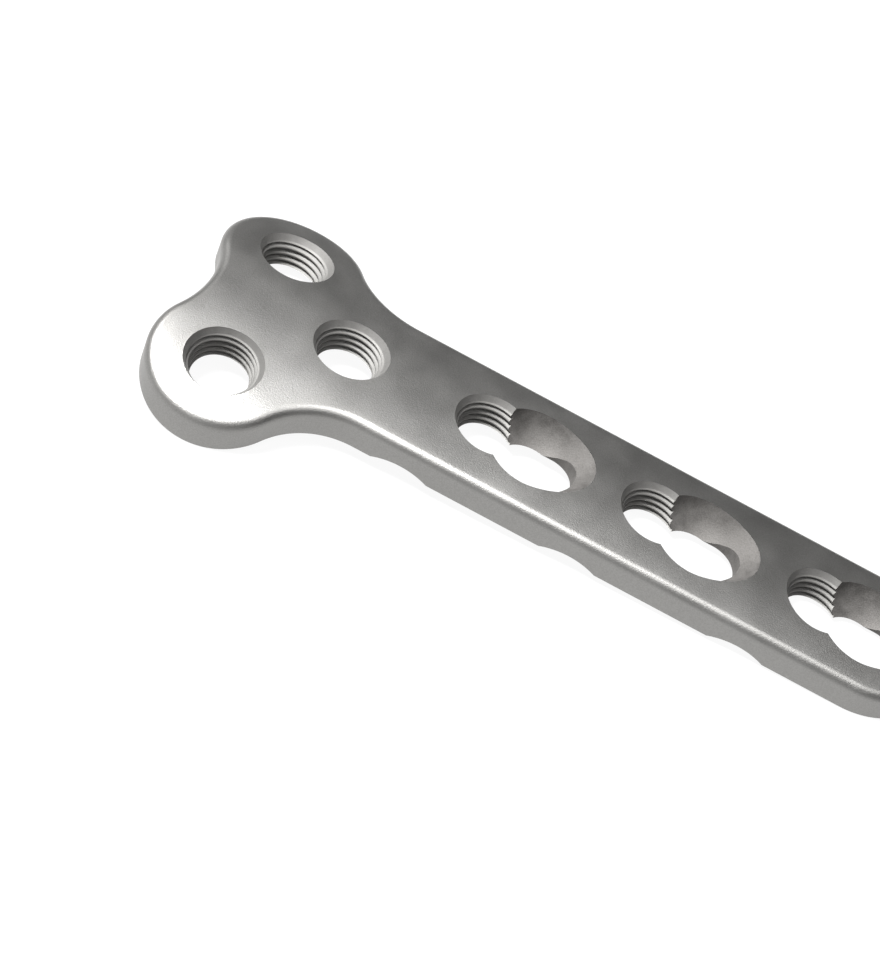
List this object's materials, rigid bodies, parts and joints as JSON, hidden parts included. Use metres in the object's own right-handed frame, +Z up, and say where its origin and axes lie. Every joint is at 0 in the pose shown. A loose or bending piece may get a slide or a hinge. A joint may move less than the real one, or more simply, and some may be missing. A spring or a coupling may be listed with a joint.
{
  "type": "orthopedic bone plate",
  "caption": "Metal plate with a lobed head and a straight shaft, pierced by tapered and combination screw holes, that is screwed to a bone to hold a fracture.",
  "frame": {"origin": "under the middle of the plate's bounding box, on the surface that it lies on", "axes": "+X along the shaft from the head to the tail, +Y across the plate, +Z up out of its top face"},
  "size_m": [0.0824, 0.0314, 0.0057],
  "materials": {
    "implant_steel": "satin, bead-blasted and electropolished"
  },
  "bodies": {
    "root": {"plate": "implant_steel"}
  },
  "joints": []
}
